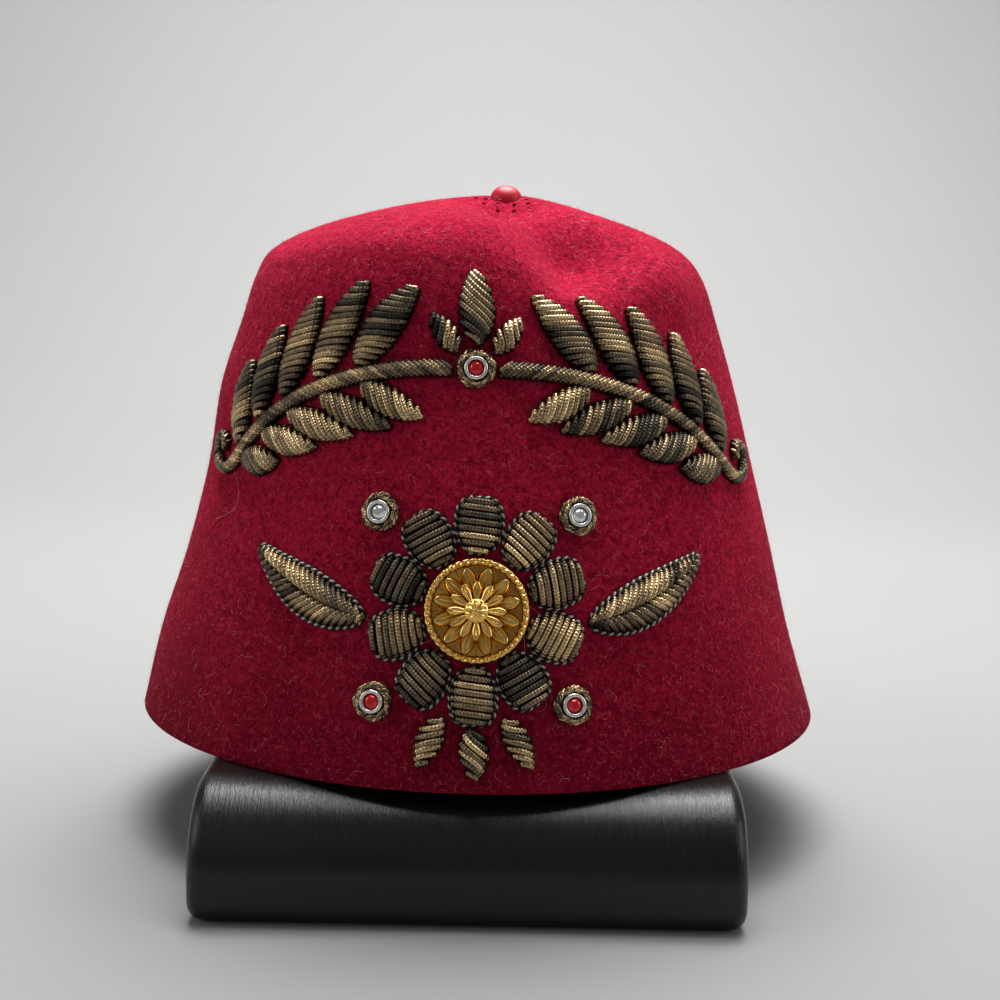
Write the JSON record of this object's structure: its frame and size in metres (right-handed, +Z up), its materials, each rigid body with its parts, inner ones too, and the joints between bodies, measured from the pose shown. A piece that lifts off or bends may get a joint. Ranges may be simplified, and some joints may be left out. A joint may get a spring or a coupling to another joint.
{
  "type": "fez hat on a plain stand",
  "caption": "Maroon felt fez with a pressed crown, gilt boss, bullion leaf and flower embroidery and set stones, resting on a low black stand.",
  "frame": {"origin": "middle of the stand's flat base", "axes": "+Z up from the base, -Y towards the embroidered front of the hat, +X to the right seen from the front"},
  "size_m": [0.2008, 0.197, 0.1877],
  "materials": {
    "felt": "short napped maroon felt",
    "button": "glossy red",
    "bullion": "tarnished bullion wire",
    "gilt": "polished gilt",
    "silver": "bright metal",
    "red_glass": "faceted red glass",
    "clear_glass": "faceted clear glass",
    "stand": "satin black"
  },
  "bodies": {
    "root": {"bezel_knot": "silver", "bezel_lower_left": "silver", "bezel_lower_right": "silver", "bezel_upper_left": "silver", "bezel_upper_right": "silver", "calyx_leaf_left": "bullion", "calyx_leaf_middle": "bullion", "calyx_leaf_right": "bullion", "crest_leaf_left": "bullion", "crest_leaf_middle": "bullion", "crest_leaf_right": "bullion", "felt_crown": "felt", "flower_petal_1": "bullion", "flower_petal_10": "bullion", "flower_petal_2": "bullion", "flower_petal_3": "bullion", "flower_petal_4": "bullion", "flower_petal_5": "bullion", "flower_petal_6": "bullion", "flower_petal_7": "bullion", "flower_petal_8": "bullion", "flower_petal_9": "bullion", "garland_leaf_left_inner_1": "bullion", "garland_leaf_left_inner_2": "bullion", "garland_leaf_left_inner_3": "bullion", "garland_leaf_left_inner_4": "bullion", "garland_leaf_left_inner_5": "bullion", "garland_leaf_left_outer_1": "bullion", "garland_leaf_left_outer_2": "bullion", "garland_leaf_left_outer_3": "bullion", "garland_leaf_left_outer_4": "bullion", "garland_leaf_left_outer_5": "bullion", "garland_leaf_right_inner_1": "bullion", "garland_leaf_right_inner_2": "bullion", "garland_leaf_right_inner_3": "bullion", "garland_leaf_right_inner_4": "bullion", "garland_leaf_right_inner_5": "bullion", "garland_leaf_right_outer_1": "bullion", "garland_leaf_right_outer_2": "bullion", "garland_leaf_right_outer_3": "bullion", "garland_leaf_right_outer_4": "bullion", "garland_leaf_right_outer_5": "bullion", "garland_stem_left": "bullion", "garland_stem_right": "bullion", "gilt_boss": "gilt", "spray_leaf_left": "bullion", "spray_leaf_right": "bullion", "stand": "stand", "stone_knot": "red_glass", "stone_lower_left": "red_glass", "stone_lower_right": "red_glass", "stone_upper_left": "clear_glass", "stone_upper_right": "clear_glass", "top_button": "button", "wire_nest_knot": "bullion", "wire_nest_lower_left": "bullion", "wire_nest_lower_right": "bullion", "wire_nest_upper_left": "bullion", "wire_nest_upper_right": "bullion"}
  },
  "joints": []
}
